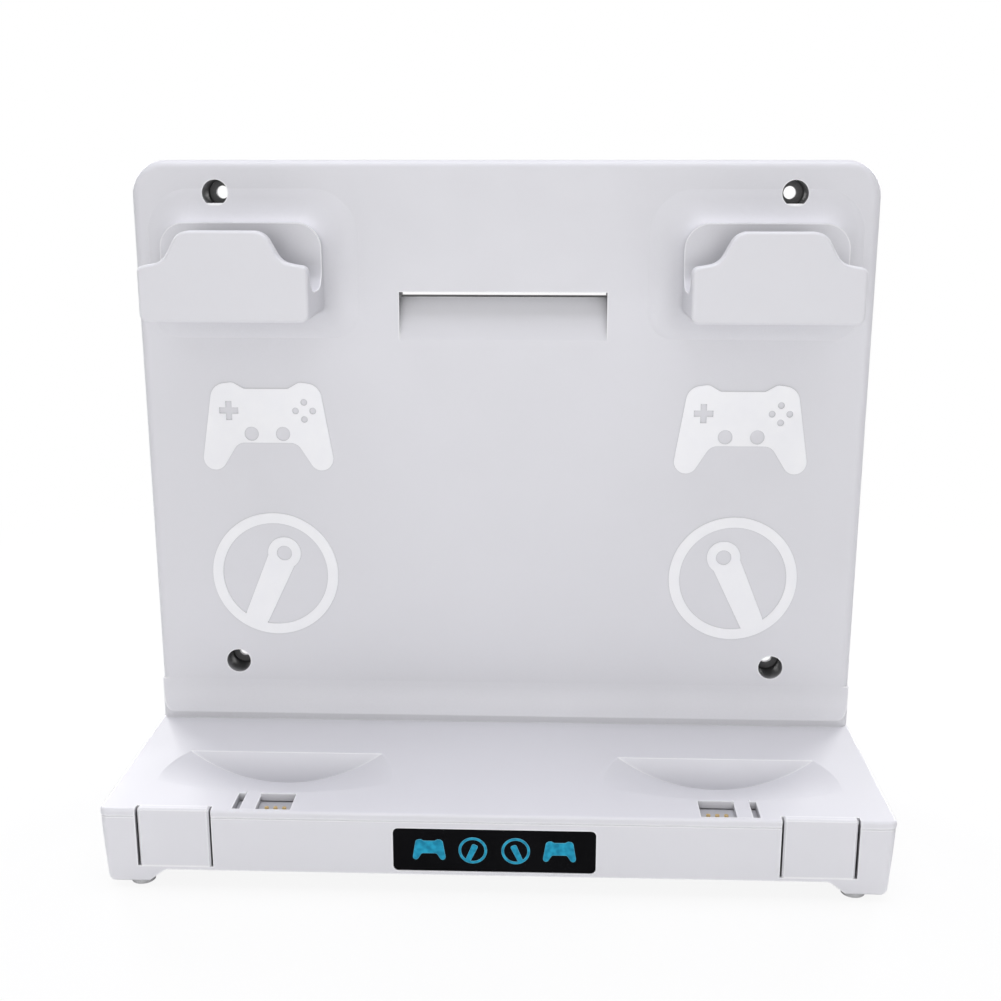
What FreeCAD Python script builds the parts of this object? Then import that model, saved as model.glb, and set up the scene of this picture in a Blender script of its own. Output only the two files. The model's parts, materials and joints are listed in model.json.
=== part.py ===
"""Charging station for two game pads and two ring-shaped hand controllers.

An upright hollow panel, made to stand on its base or to be screwed to a wall, carries
two moulded cradles and a slot for a hanger. The shallow base below it has two scooped
docks, a small display and two end blocks. Lengths are in millimetres. X runs to the
right, Y away from the viewer and Z up. The origin is on the table, under the centre.
"""
import FreeCAD, Part
import math
import os

# Overall sizes of the base
BASE_WIDTH = 300.0
BASE_DEPTH = 105.0
HOUSING_HEIGHT = 21.9
LID_THICKNESS = 3.0
FOOT_HEIGHT = 5.1
RUBBER_PROUD = 2.6

# Panel, a little narrower than the base
PANEL_SIDE_STEP = 0.3
PANEL_HEIGHT = 237.8
PANEL_DEPTH = 15.2
PANEL_CORNER_RADIUS = 14.0
PANEL_EDGE_RADIUS = 3.5
PANEL_FRONT_WALL = 2.8
PANEL_SIDE_WALL = 3.4
PANEL_BOTTOM_WALL = 3.0
COVE_HEIGHT = 17.0
COVE_REACH = 4.0
COVE_NOSE_HEIGHT = 3.2
COVE_NOSE_RADIUS = 1.4
COVE_END_RADIUS = 5.0

# Rear cover of the panel
COVER_THICKNESS = 2.0
COVER_LEDGE = 1.8
COVER_RIB_HEIGHT = 2.5
COVER_RIB_WIDTH = 1.5
COVER_RIB_INSET = 45.0
COVER_RIB_SHARES = (0.24, 0.36, 0.60)
COVER_SCREW_SHARE = 0.25
COVER_SCREW_LOW = 28.5
COVER_SCREW_HIGH = 223.8

# Holes for the wall screws
WALL_HOLE_INSET = 34.2
WALL_HOLE_SPACING_Z = 199.5
WALL_HOLE_LOW = 25.5
WALL_HOLE_RADIUS = 2.6
WALL_SINK_RADIUS = 5.2
WALL_SINK_DEPTH = 13.1
WALL_BOSS_RADIUS = 7.5

# Slot for the hanger
SLOT_INSET = 107.4
SLOT_TOP = 185.8
SLOT_GAP = 2.4
SLOT_DEPTH = 6.0
SLOT_RAMP = 19.5
SLOT_WALL = 2.5

# Cradles for the game pads
CRADLE_INSET = 45.7
CRADLE_WIDTH = 64.6
CRADLE_REACH = 42.7
CRADLE_BOTTOM = 178.1
SHELF_THICKNESS = 10.4
SHELF_CORNER_RADIUS = 3.0
LIP_THICKNESS = 4.5
LIP_SHOULDER_RISE = 20.8
LIP_SHOULDER_SLOPE = 1.8
LIP_SHOULDER_RADIUS = 2.5
LIP_SHOULDER_HALF = 22.4
LIP_CREST_RISE = 34.1
LIP_CREST_HALF = 16.2
LIP_CURVE_RADIUS = 7.0
LIP_RIM_RADIUS = 1.2
ARCH_REACH = 10.0
ARCH_RISE = 35.7
ARCH_RADIUS = 10.0
CHANNEL_RADIUS = 9.0
CRADLE_WALL = 2.6
CRADLE_CORE_SETBACK = 5.6
CRADLE_CORE_RADIUS = 6.0
FLARE_RISE = 7.2
FLARE_SIDE = 15.0
FLARE_OUTER = 8.5
FLARE_TOP = 15.0
FLARE_BOTTOM = 13.0
FLARE_SPREAD_RADIUS = 9.0
FLARE_SUNK = 0.6
FLARE_FIRST_ANGLE = 9.0
FLARE_STEPS = 6

# Charging block on the floor of each cradle
SEAT_HALF_X = 9.0
SEAT_HALF_Y = 4.0
SEAT_STEM_BELOW = 1.0
SEAT_FLANGE = 0.9
SEAT_FLANGE_THICKNESS = 1.2
SEAT_HEAD_HALF_X = 8.0
SEAT_HEAD_HALF_Y = 3.0
SEAT_HEAD_HEIGHT = 3.6
SEAT_CONTACT_OFFSET = 4.0

# Docks for the ring-shaped controllers; the chord of each is set from the front edge
DOCK_INSET = 61.6
DOCK_BACK = 52.2
DOCK_BACK_LEAN = 4.7
DOCK_DEPTH = 11.5
DOCK_HALF_CHORD = 39.8
DOCK_MID_REACH = 12.6
DOCK_MID_HALF = 45.0
DOCK_MID_DEPTH = 6.6
DOCK_MID_BOW = 6.0
DOCK_SIDE_REACH = 27.4
DOCK_SIDE_HALF = 46.0
DOCK_FRONT_REACH = 36.6
DOCK_WALL = 2.2
DOCK_FRONT_GAIN = 2.5

# Contact pockets, set from the front edge; the neck leads from the dock into the pocket
POCKET_HALF = 11.1
POCKET_FRONT = 2.1
POCKET_BACK = 14.8
POCKET_DEPTH = 7.0
NECK_INNER = 2.7
NECK_WIDTH = 6.0
NECK_DROP = 1.0
NECK_REACH = 4.0
NECK_BEARING = 0.5

# Contacts and the carriers that hold them
CONTACT_RADIUS = 0.8
CONTACT_PROUD = 1.0
CONTACT_ROOT = 1.5
CONTACT_PITCH = 3.4
CARRIER_RAISE = 8.0
CARRIER_DROP = 0.4
CARRIER_OVERLAP = 1.5
CARRIER_PILLAR = 5.0
CARRIER_PILLAR_BACK = 2.0
CARRIER_PILLAR_DEPTH = 8.0

# Base housing and lid
HOUSING_WALL = 2.6
HOUSING_FLOOR = 2.5
HOUSING_SIDE_DRAFT = 1.8
HOUSING_CORNER_RADIUS = 3.0
HOUSING_INNER_RADIUS = 2.0
HOUSING_BOTTOM_RADIUS = 3.2
LID_EDGE_RADIUS = 1.1
RIM_HEIGHT = 1.6
RIM_THICKNESS = 1.2
RIM_KEEP_OFF = 2.0
SEAM_BEVEL = 0.35

# Feet
FOOT_WIDTH = 18.0
FOOT_DEPTH = 20.0
FOOT_SLOPE = 7.0
FOOT_SIDE_STEP = 0.4
FOOT_SLOPE_RADIUS = 3.0
FOOT_EDGE_RADIUS = 2.0
FOOT_FRONT_RADIUS = 0.8
RUBBER_RADIUS = 4.5
RUBBER_SEAT = 0.8
RUBBER_INSET_X = 13.5
RUBBER_INSET_Y = 6.7

# End blocks in the front corners
BLOCK_INSET = 28.3
BLOCK_WIDTH = 27.2
BLOCK_SIDE_GAP = 0.9
BLOCK_FRONT_THICKNESS = 3.4
BLOCK_TAIL_DEPTH = 11.0
BLOCK_SILL = 1.5
BLOCK_TOP_PROUD = 0.5
BLOCK_EDGE_BREAK = 0.7
GUIDE_THICKNESS = 1.2
GUIDE_TOP_DROP = 6.0

# Display
WINDOW_WIDTH = 76.6
WINDOW_HEIGHT = 17.6
WINDOW_TOP_DROP = 5.8
WINDOW_RADIUS = 2.0
WINDOW_RECESS = 0.3
WINDOW_FLANGE = 2.6
WINDOW_FLANGE_THICKNESS = 1.2
DISPLAY_ICON_THICKNESS = 0.15
DISPLAY_PAD_X = 24.6
DISPLAY_RING_X = 8.1
DISPLAY_PAD_WIDTH = 12.6
DISPLAY_RING_RADIUS = 5.4
DISPLAY_RING_BAND = 1.0
DISPLAY_BOARD_WIDTH = 84.0
DISPLAY_BOARD_GAP = 3.0
DISPLAY_BOARD_DROP = 4.0
DISPLAY_RAIL = 2.5
DISPLAY_RAIL_LIP = 1.6
LIGHT_WIDTH = 3.5
LIGHT_HEIGHT = 2.8
LIGHT_DEPTH = 1.0

# Raised symbols on the panel
ICON_THICKNESS = 0.4
PAD_ICON_SHIFT = 5.5
PAD_ICON_Z = 129.4
PAD_ICON_WIDTH = 55.6
RING_ICON_SHIFT = 6.4
RING_ICON_Z = 65.5
RING_ICON_RADIUS = 27.0
RING_ICON_BAND = 4.4
RING_ICON_LEAN = 24.0
PAD_DRAWN_WIDTH = 27.8
GRIP_HALF_SHARE = 0.20
GRIP_FLARE = 1.25
GRIP_TOP_SHARE = 0.52
GRIP_CORNER_SHARE = 0.16
REST_SHARE = 0.38
REST_RADIUS_SHARE = 0.26
EYE_RADIUS_SHARE = 0.12

# Main board
BOARD_THICKNESS = 1.6
BOARD_WIDTH = 118.0
BOARD_DEPTH = 31.3
BOARD_TAIL_HALF = 14.0
BOARD_TAIL_BACK = 5.1
BOARD_CORNER_RADIUS = 1.0
BOARD_RAISE = 4.0
STANDOFF_RADIUS = 2.6
STANDOFF_INSET = 5.0
CHIP_SIDE = 8.0
CHIP_HEIGHT = 1.0
CHIP_BACK = 19.3
COIL_SIDE = 8.0
COIL_HEIGHT = 4.0
COIL_X = 24.0
CAPACITOR_RADIUS = 3.0
CAPACITOR_HEIGHT = 6.0
CAPACITOR_BACK = 8.3
SOCKET_LENGTH = 6.0
SOCKET_WIDTH = 6.0
SOCKET_HEIGHT = 5.0
DOCK_SOCKET_BACK = 20.3
CRADLE_SOCKET_BACK = 12.3

# Power inlet
INLET_WIDTH = 8.94
INLET_HEIGHT = 3.26
INLET_LENGTH = 7.3
INLET_SHELL = 0.3
INLET_BASE = 1.2
INLET_RECESS_WIDTH = 13.5
INLET_RECESS_HEIGHT = 7.6
INLET_RECESS_DEPTH = 1.2
INLET_RECESS_CORNER = 3.3
TONGUE_WIDTH = 6.6
TONGUE_THICKNESS = 0.7
TONGUE_SETBACK = 0.8

# Leads, flat two-core cable folded at its corners
LEAD_SIDE = 2.4
LEAD_LAY = 0.5
LEAD_SHIFT = 6.0
DOCK_LEAD_SHIFT = 8.0
DOCK_LEAD_RISE = 4.0

# Screws
SCREW_RADIUS = 1.25
SCREW_HEAD_RADIUS = 2.4
SCREW_HEAD_HEIGHT = 1.7
SCREW_BITE = 0.05
SCREW_BOSS_RADIUS = 3.4
LID_SCREW_RAISE = 8.0
LID_SCREW_SINK = 4.5
LID_SCREW_LENGTH = 15.9
LID_SCREW_BACK = 16.0
LID_SCREW_FRONT = 20.0
LID_SCREW_HALF = 8.0
PANEL_SCREW_INSET = 7.0
PANEL_SCREW_SIDE = 37.7
PANEL_SCREW_DROP = 6.0
PANEL_SCREW_LENGTH = 21.0
PANEL_SCREW_DEPTH = 10.0
PANEL_SCREW_BOSS = 12.0
PANEL_SCREW_TUBE = 4.0
COVER_SCREW_HEAD = 1.0
COVER_SCREW_LENGTH = 6.0
COVER_SCREW_DEPTH = 7.0
BOARD_SCREW_LENGTH = 5.1

# Clearances, and how far a cutting tool runs past the face that it cuts
FIT_GAP = 0.3
SNUG_GAP = 0.15
OVERCUT = 1.0
TOUCH = 0.01

# Levels and planes that follow from the sizes
HOUSING_BOTTOM = RUBBER_PROUD + FOOT_HEIGHT
LID_BOTTOM = HOUSING_BOTTOM + HOUSING_HEIGHT
LID_TOP = LID_BOTTOM + LID_THICKNESS
PANEL_TOP = LID_TOP + PANEL_HEIGHT
FLOOR_TOP = HOUSING_BOTTOM + HOUSING_FLOOR
FRONT = -BASE_DEPTH / 2
BACK = BASE_DEPTH / 2
WALL_INSIDE = FRONT + HOUSING_WALL
BASE_HALF = BASE_WIDTH / 2
HOUSING_HALF = BASE_HALF - FIT_GAP
INNER_HALF = HOUSING_HALF - HOUSING_SIDE_DRAFT - HOUSING_WALL

PANEL_HALF = BASE_HALF - PANEL_SIDE_STEP
PANEL_FRONT = BACK - PANEL_DEPTH
PANEL_INSIDE = PANEL_FRONT + PANEL_FRONT_WALL
PANEL_FLOOR = LID_TOP + PANEL_BOTTOM_WALL
COVER_FRONT = BACK - COVER_THICKNESS
SLOT_HALF = PANEL_HALF - SLOT_INSET
SLOT_CEILING = LID_TOP + SLOT_TOP

CRADLE_CENTRE = PANEL_HALF - CRADLE_INSET
CRADLE_HALF = CRADLE_WIDTH / 2
LIP_FRONT = PANEL_FRONT - CRADLE_REACH
LIP_BACK = LIP_FRONT + LIP_THICKNESS
ARCH_FRONT = PANEL_FRONT - ARCH_REACH
CHANNEL_MIDDLE = (LIP_BACK + ARCH_FRONT) / 2
SHELF_LOW = LID_TOP + CRADLE_BOTTOM
ARCH_TOP = SHELF_LOW + ARCH_RISE
CHANNEL_FLOOR = SHELF_LOW + SHELF_THICKNESS
PAD_ICON_X = CRADLE_CENTRE - PAD_ICON_SHIFT
RING_ICON_X = CRADLE_CENTRE - RING_ICON_SHIFT
ICON_FACE = PANEL_FRONT - ICON_THICKNESS

DOCK_CENTRE = BASE_HALF - DOCK_INSET
POCKET_Y0 = FRONT + POCKET_FRONT
POCKET_Y1 = FRONT + POCKET_BACK
CONTACT_LOW = FLOOR_TOP + CARRIER_RAISE
CONTACT_FRONT = WALL_INSIDE + SNUG_GAP
CONTACT_BACK = POCKET_Y1 + FIT_GAP
BLOCK_CENTRE = BASE_HALF - BLOCK_INSET
BLOCK_FACE = FRONT + BLOCK_FRONT_THICKNESS

BOARD_LOW = FLOOR_TOP + BOARD_RAISE
BOARD_TOP = BOARD_LOW + BOARD_THICKNESS
BOARD_HALF = BOARD_WIDTH / 2
BOARD_FRONT = PANEL_FRONT - BOARD_DEPTH
INLET_BACK = BACK - INLET_RECESS_DEPTH
INLET_FRONT = INLET_BACK - INLET_LENGTH
INLET_Z = BOARD_TOP + INLET_HEIGHT / 2

WINDOW_TOP = LID_TOP - WINDOW_TOP_DROP
WINDOW_Z = WINDOW_TOP - WINDOW_HEIGHT / 2
WINDOW_FACE = FRONT + WINDOW_RECESS
DISPLAY_BOARD_HALF = DISPLAY_BOARD_WIDTH / 2
DISPLAY_BOARD_FRONT = WALL_INSIDE + WINDOW_FLANGE_THICKNESS + DISPLAY_BOARD_GAP
DISPLAY_BOARD_BACK = DISPLAY_BOARD_FRONT + BOARD_THICKNESS

RUBBER_X = BASE_HALF - RUBBER_INSET_X
RUBBER_Y = BASE_DEPTH / 2 - RUBBER_INSET_Y
SCREW_MEET = FLOOR_TOP + LID_SCREW_RAISE
LID_SCREW_SEAT = HOUSING_BOTTOM + LID_SCREW_SINK
PANEL_SCREW_SEAT = LID_BOTTOM - PANEL_SCREW_DROP
LEAD_HALF = LEAD_SIDE / 2
LEAD_X = CRADLE_CENTRE - LEAD_SHIFT
LEAD_Y = COVER_FRONT - COVER_RIB_HEIGHT - LEAD_HALF - FIT_GAP
LEAD_LEVEL = BOARD_TOP + SOCKET_HEIGHT / 2

SIDES = (("left", -1), ("right", 1))


# Basic solids and outlines

def vec(x, y, z):
    return FreeCAD.Vector(x, y, z)


def block(x0, x1, y0, y1, z0, z1):
    return Part.makeBox(x1 - x0, y1 - y0, z1 - z0, vec(x0, y0, z0))


def rod_y(x, z, radius, y0, y1):
    return Part.makeCylinder(radius, y1 - y0, vec(x, y0, z), vec(0, 1, 0))


def rod_z(x, y, radius, z0, z1):
    return Part.makeCylinder(radius, z1 - z0, vec(x, y, z0), vec(0, 0, 1))


def in_xz(y):
    return lambda u, v: vec(u, y, v)


def in_yz(x):
    return lambda u, v: vec(x, u, v)


def in_xy(z):
    return lambda u, v: vec(u, v, z)


def rounded_wire(corners, place):
    """Closed wire through corners (u, v, radius), each rounded by its own radius."""
    count = len(corners)
    starts = []
    ends = []
    middles = []
    for index in range(count):
        u, v, radius = corners[index]
        before = corners[index - 1]
        after = corners[(index + 1) % count]
        to_before = FreeCAD.Vector(before[0] - u, before[1] - v, 0).normalize()
        to_after = FreeCAD.Vector(after[0] - u, after[1] - v, 0).normalize()
        corner = FreeCAD.Vector(u, v, 0)
        if radius <= 0:
            starts.append(corner)
            ends.append(corner)
            middles.append(None)
            continue
        half = to_before.getAngle(to_after) / 2
        tangent = radius / math.tan(half)
        bisector = (to_before + to_after).normalize()
        centre = corner + bisector * (radius / math.sin(half))
        starts.append(corner + to_before * tangent)
        ends.append(corner + to_after * tangent)
        middles.append(centre - bisector * radius)
    edges = []
    for index in range(count):
        if middles[index] is not None:
            points = [starts[index], middles[index], ends[index]]
            edges.append(Part.Arc(*[place(p.x, p.y) for p in points]).toShape())
        leave = ends[index]
        arrive = starts[(index + 1) % count]
        if (arrive - leave).Length > 1e-6:
            edges.append(Part.makeLine(place(leave.x, leave.y), place(arrive.x, arrive.y)))
    return Part.Wire(edges)


def prism(wire, direction):
    return Part.Face(wire).extrude(direction)


def prism_y(corners, y0, y1):
    return prism(rounded_wire(corners, in_xz(y0)), vec(0, y1 - y0, 0))


def prism_x(corners, x0, x1):
    return prism(rounded_wire(corners, in_yz(x0)), vec(x1 - x0, 0, 0))


def prism_z(corners, z0, z1):
    return prism(rounded_wire(corners, in_xy(z0)), vec(0, 0, z1 - z0))


def rectangle(u0, u1, v0, v1, radius=0.0):
    return [(u0, v0, radius), (u1, v0, radius), (u1, v1, radius), (u0, v1, radius)]


def mirrored(right):
    """Corners of a symmetrical outline, from the corners of its right half."""
    return right + [(-u, v, radius) for u, v, radius in reversed(right)]


def moved(corners, x, z):
    return [(u + x, v + z, radius) for u, v, radius in corners]


def side_span(sign, near, far):
    """The stretch from near to far along X, on the side that sign gives."""
    return sorted((sign * near, sign * far))


def single(shape):
    """The one solid of a boolean result, with its split faces joined."""
    solids = shape.removeSplitter().Solids
    if len(solids) != 1:
        raise ValueError("expected one solid, got %d" % len(solids))
    return solids[0]


def save(name, shapes):
    """Write one node, a solid or a group of separate solids."""
    solids = []
    for shape in shapes:
        solids.extend(shape.Solids)
    for solid in solids:
        if not solid.isValid() or solid.Volume <= 0:
            raise ValueError("bad solid in " + name)
    whole = solids[0] if len(solids) == 1 else Part.makeCompound(solids)
    whole.exportStep("parts/" + name + ".step")


# Positions shared by pieces that fit together

def wall_hole_places():
    half = PANEL_HALF - WALL_HOLE_INSET
    low = LID_TOP + WALL_HOLE_LOW
    return [(x, z) for x in (-half, half) for z in (low, low + WALL_HOLE_SPACING_Z)]


def cover_screw_places():
    side = 2 * PANEL_HALF * COVER_SCREW_SHARE
    rows = (LID_TOP + COVER_SCREW_LOW, LID_TOP + COVER_SCREW_HIGH)
    return [(x, z) for x in (-side, side) for z in rows]


def lid_screw_places():
    side = INNER_HALF - SCREW_BOSS_RADIUS - FIT_GAP
    front = WALL_INSIDE + LID_SCREW_FRONT
    rear = PANEL_FRONT - LID_SCREW_BACK
    return [(-side, rear), (side, rear), (-LID_SCREW_HALF, front), (LID_SCREW_HALF, front)]


def panel_screw_places():
    outer = PANEL_HALF - PANEL_SCREW_SIDE
    return [(x, BACK - PANEL_SCREW_INSET) for x in (-outer, -SLOT_HALF, SLOT_HALF, outer)]


def standoff_places():
    half = BOARD_HALF - STANDOFF_INSET
    rows = (BOARD_FRONT + STANDOFF_INSET, PANEL_FRONT - STANDOFF_INSET)
    return [(x, y) for x in (-half, half) for y in rows]


def rubber_places():
    return [(x, y) for x in (-RUBBER_X, RUBBER_X) for y in (-RUBBER_Y, RUBBER_Y)]


def lead_hole(x, z0, z1):
    """Square passage for a panel lead."""
    reach = LEAD_HALF + FIT_GAP
    return block(x - reach, x + reach, LEAD_Y - reach, LEAD_Y + reach, z0, z1)


def slot_profile(extra=0.0):
    """Side view of the hanger slot; extra thickens it into the wall around it."""
    top = SLOT_CEILING + extra
    low = SLOT_CEILING - SLOT_RAMP - extra
    knee = SLOT_CEILING - SLOT_GAP - extra
    deep = PANEL_FRONT + SLOT_DEPTH + extra
    return [(BACK + OVERCUT, top, 0), (BACK + OVERCUT, knee, 0), (deep, knee, 0),
            (PANEL_FRONT, low, 0), (PANEL_FRONT - OVERCUT, low, 0), (PANEL_FRONT - OVERCUT, top, 0)]


# Panel front shell with the cradles

def panel_outline(inset):
    half = PANEL_HALF - inset
    radius = PANEL_CORNER_RADIUS - inset
    top = PANEL_TOP - inset
    return [(-half, LID_TOP, 0), (half, LID_TOP, 0), (half, top, radius), (-half, top, radius)]


def raised_outline(inset, low):
    return [(u, max(v, low), radius) for u, v, radius in panel_outline(inset)]


def panel_blank():
    """Solid plate with its front edges rounded along both sides and the top."""
    blank = prism_y(panel_outline(0), PANEL_FRONT, BACK)
    rims = []
    for edge in blank.Edges:
        box = edge.BoundBox
        on_front = box.YMax < PANEL_FRONT + TOUCH
        along_bottom = box.ZMax < LID_TOP + TOUCH
        if on_front and not along_bottom:
            rims.append(edge)
    return blank.makeFillet(PANEL_EDGE_RADIUS, rims)


def panel_cove():
    """Concave foot of the panel, ending in a rounded nose on the lid."""
    nose = PANEL_FRONT - COVE_REACH
    top = LID_TOP + COVE_HEIGHT
    brow = LID_TOP + COVE_NOSE_HEIGHT
    rise = top - brow
    sweep_radius = (rise * rise + COVE_REACH * COVE_REACH) / (2 * COVE_REACH)
    half_angle = math.atan2(COVE_REACH, rise)
    middle = (PANEL_FRONT - sweep_radius * (1 - math.cos(half_angle)),
              top - sweep_radius * math.sin(half_angle))
    points = [(PANEL_INSIDE, top), (PANEL_FRONT, top), middle, (nose, brow),
              (nose, LID_TOP), (PANEL_INSIDE, LID_TOP)]
    place = in_yz(-PANEL_HALF)
    start, sweep_start, sweep_middle, sweep_end, low_front, low_back = [place(*p) for p in points]
    wire = Part.Wire([
        Part.makeLine(start, sweep_start),
        Part.Arc(sweep_start, sweep_middle, sweep_end).toShape(),
        Part.makeLine(sweep_end, low_front),
        Part.makeLine(low_front, low_back),
        Part.makeLine(low_back, start)])
    cove = prism(wire, vec(2 * PANEL_HALF, 0, 0))
    brows = [edge for edge in cove.Edges
             if abs(edge.BoundBox.ZMin - brow) < TOUCH and abs(edge.BoundBox.ZMax - brow) < TOUCH]
    cove = cove.makeFillet(COVE_NOSE_RADIUS, brows)
    plan = [(-PANEL_HALF, nose, COVE_END_RADIUS), (PANEL_HALF, nose, COVE_END_RADIUS),
            (PANEL_HALF, BACK, 0), (-PANEL_HALF, BACK, 0)]
    return cove.common(prism_z(plan, LID_TOP, top))


def lip_outline(centre):
    """Front view of the lip: a raised crest between two low shoulders."""
    shoulder = SHELF_LOW + LIP_SHOULDER_RISE
    crest = SHELF_LOW + LIP_CREST_RISE
    right = [(CRADLE_HALF, SHELF_LOW, SHELF_CORNER_RADIUS),
             (CRADLE_HALF, shoulder, LIP_SHOULDER_RADIUS),
             (LIP_SHOULDER_HALF, shoulder + LIP_SHOULDER_SLOPE, LIP_CURVE_RADIUS),
             (LIP_CREST_HALF, crest, LIP_CURVE_RADIUS)]
    return moved(mirrored(right), centre, 0)


def arch_outline(centre):
    right = [(CRADLE_HALF, SHELF_LOW, SHELF_CORNER_RADIUS), (CRADLE_HALF, ARCH_TOP, ARCH_RADIUS)]
    return moved(mirrored(right), centre, 0)


def cradle_blank(centre):
    """Lip, open channel and arch, before the flare that blends them into the panel."""
    inside = PANEL_FRONT + OVERCUT
    top = ARCH_TOP + OVERCUT
    side_view = [(LIP_FRONT, SHELF_LOW, 0), (inside, SHELF_LOW, 0), (inside, top, 0),
                 (ARCH_FRONT, top, 0), (ARCH_FRONT, CHANNEL_FLOOR, CHANNEL_RADIUS),
                 (LIP_BACK, CHANNEL_FLOOR, CHANNEL_RADIUS), (LIP_BACK, top, 0), (LIP_FRONT, top, 0)]
    body = prism_x(side_view, centre - CRADLE_HALF - OVERCUT, centre + CRADLE_HALF + OVERCUT)
    front_zone = prism_y(lip_outline(centre), LIP_FRONT - OVERCUT, CHANNEL_MIDDLE)
    rear_zone = prism_y(arch_outline(centre), CHANNEL_MIDDLE, inside)
    return body.common(front_zone.fuse(rear_zone).removeSplitter())


def round_cradle_rim(cradle):
    """Round the rim of the lip where it faces the viewer."""
    rims = []
    for edge in cradle.Edges:
        box = edge.BoundBox
        if box.YLength < TOUCH and abs(box.YMin - LIP_FRONT) < TOUCH:
            rims.append(edge)
    return cradle.makeFillet(LIP_RIM_RADIUS, rims)


def flare_sections():
    """Spread beyond the cradle, as a share, and height above the panel, from the panel up."""
    first = math.radians(FLARE_FIRST_ANGLE)
    sections = []
    for step in range(FLARE_STEPS + 1):
        angle = first + (math.pi / 2 - first) * step / FLARE_STEPS
        sections.append((1 - math.sin(angle), FLARE_RISE * (1 - math.cos(angle))))
    return [(sections[0][0] + FLARE_SUNK / FLARE_RISE, -FLARE_SUNK)] + sections


def flare(centre, sign):
    """Wide concave blend between the cradle and the panel, narrower on the outer side."""
    left_reach = FLARE_OUTER if sign < 0 else FLARE_SIDE
    right_reach = FLARE_SIDE if sign < 0 else FLARE_OUTER
    wires = []
    for spread, height in flare_sections():
        left = centre - CRADLE_HALF + SCREW_BITE - left_reach * spread
        right = centre + CRADLE_HALF - SCREW_BITE + right_reach * spread
        low = SHELF_LOW + SCREW_BITE - FLARE_BOTTOM * spread
        high = ARCH_TOP - SCREW_BITE + FLARE_TOP * spread
        low_radius = SHELF_CORNER_RADIUS + FLARE_SPREAD_RADIUS * spread
        high_radius = ARCH_RADIUS + FLARE_SPREAD_RADIUS * spread
        corners = [(left, low, low_radius), (right, low, low_radius),
                   (right, high, high_radius), (left, high, high_radius)]
        wires.append(rounded_wire(corners, in_xz(PANEL_FRONT - height)))
    return Part.makeLoft(wires, True, False)


def cradle_core(centre):
    """Hollow of one cradle, open to the inside of the panel."""
    half = CRADLE_HALF - CRADLE_WALL
    inside = PANEL_INSIDE + OVERCUT
    low = SHELF_LOW + CRADLE_WALL
    shelf = block(centre - half, centre + half, LIP_BACK + CHANNEL_RADIUS / 2, inside,
                  low, CHANNEL_FLOOR - CRADLE_WALL)
    top = ARCH_TOP - CRADLE_WALL
    outline = [(centre - half, low, 0), (centre + half, low, 0),
               (centre + half, top, CRADLE_CORE_RADIUS), (centre - half, top, CRADLE_CORE_RADIUS)]
    return [shelf, prism_y(outline, ARCH_FRONT + CRADLE_CORE_SETBACK, inside)]


def charge_seat(centre, gap):
    """Stem of the cradle's contact block, and with a gap the hole that it sits in."""
    return block(centre - SEAT_HALF_X - gap, centre + SEAT_HALF_X + gap,
                 CHANNEL_MIDDLE - SEAT_HALF_Y - gap, CHANNEL_MIDDLE + SEAT_HALF_Y + gap,
                 CHANNEL_FLOOR - CRADLE_WALL - SEAT_STEM_BELOW, CHANNEL_FLOOR + SEAT_FLANGE_THICKNESS / 2)


def panel_bosses():
    """Tubes inside the panel for its screws, and the wall round the hanger slot."""
    bosses = []
    root = PANEL_INSIDE - OVERCUT
    for x, z in wall_hole_places():
        bosses.append(rod_y(x, z, WALL_BOSS_RADIUS, root, BACK))
    for x, z in cover_screw_places():
        bosses.append(rod_y(x, z, SCREW_BOSS_RADIUS, root, COVER_FRONT))
    for x, y in panel_screw_places():
        bosses.append(rod_z(x, y, SCREW_BOSS_RADIUS, LID_TOP, PANEL_FLOOR + PANEL_SCREW_BOSS))
    slot_wall = prism_x(slot_profile(SLOT_WALL), -SLOT_HALF - SLOT_WALL, SLOT_HALF + SLOT_WALL)
    bosses.append(slot_wall.common(block(-BASE_HALF, BASE_HALF, root, BACK, LID_TOP, PANEL_TOP)))
    return bosses


def panel_holes():
    holes = [prism_x(slot_profile(), -SLOT_HALF, SLOT_HALF)]
    for x, z in wall_hole_places():
        holes.append(rod_y(x, z, WALL_SINK_RADIUS, PANEL_FRONT - OVERCUT, PANEL_FRONT + WALL_SINK_DEPTH))
        holes.append(rod_y(x, z, WALL_HOLE_RADIUS, PANEL_FRONT, BACK + OVERCUT))
    for x, z in cover_screw_places():
        holes.append(rod_y(x, z, SCREW_RADIUS + SCREW_BITE, COVER_FRONT - COVER_SCREW_DEPTH, BACK))
    for x, y in panel_screw_places():
        holes.append(rod_z(x, y, SCREW_RADIUS + SCREW_BITE, LID_TOP - OVERCUT,
                           PANEL_FLOOR + PANEL_SCREW_DEPTH))
    for x in (-LEAD_X, LEAD_X):
        holes.append(lead_hole(x, LID_TOP - OVERCUT, PANEL_FLOOR + OVERCUT))
    return holes


def make_panel_front():
    shell = panel_blank().fuse(panel_cove()).removeSplitter()
    hollow = prism_y(raised_outline(PANEL_SIDE_WALL, PANEL_FLOOR), PANEL_INSIDE, COVER_FRONT)
    seat = prism_y(raised_outline(PANEL_SIDE_WALL - COVER_LEDGE, PANEL_FLOOR - COVER_LEDGE),
                   COVER_FRONT, BACK + OVERCUT)
    shell = shell.cut([hollow, seat])
    for sign in (-1, 1):
        centre = sign * CRADLE_CENTRE
        shell = shell.fuse([round_cradle_rim(cradle_blank(centre)), flare(centre, sign)])
        shell = shell.cut(cradle_core(centre) + [charge_seat(centre, SNUG_GAP)])
    return single(shell.fuse(panel_bosses()).cut(panel_holes()))


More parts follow.
